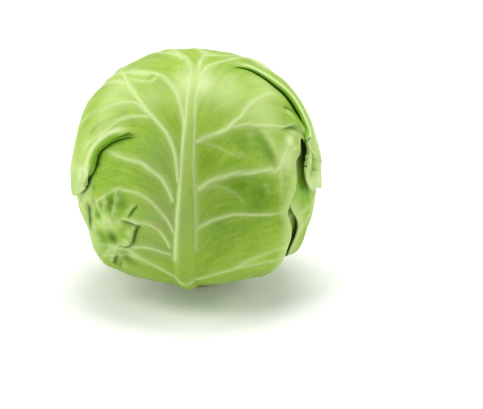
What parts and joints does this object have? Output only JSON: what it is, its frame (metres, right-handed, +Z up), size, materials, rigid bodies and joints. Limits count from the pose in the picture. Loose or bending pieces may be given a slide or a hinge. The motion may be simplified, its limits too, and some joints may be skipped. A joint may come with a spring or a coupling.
{
  "type": "cabbage head",
  "caption": "Round green cabbage head with overlapping ribbed wrapper leaves, standing on the flat cut of its stem.",
  "frame": {"origin": "middle of the stem's flat cut face, on the surface that the head stands on", "axes": "+Z up, from the stem to the crown; -Y is the front, the way the outermost leaf's midrib faces; +X to the right of someone who looks at the front"},
  "size_m": [0.205, 0.2004, 0.1891],
  "materials": {
    "wrapper_leaf": "satin leaf skin with a thin wax bloom",
    "young_leaf": "satin leaf skin",
    "stem": "freshly cut, matte"
  },
  "bodies": {
    "root": {"stem": "stem", "inner_head": "young_leaf", "wrapper_leaf_1": "wrapper_leaf", "wrapper_leaf_2": "wrapper_leaf", "wrapper_leaf_3": "wrapper_leaf", "wrapper_leaf_4": "wrapper_leaf", "wrapper_leaf_5": "wrapper_leaf", "front_leaf": "wrapper_leaf"}
  },
  "joints": []
}
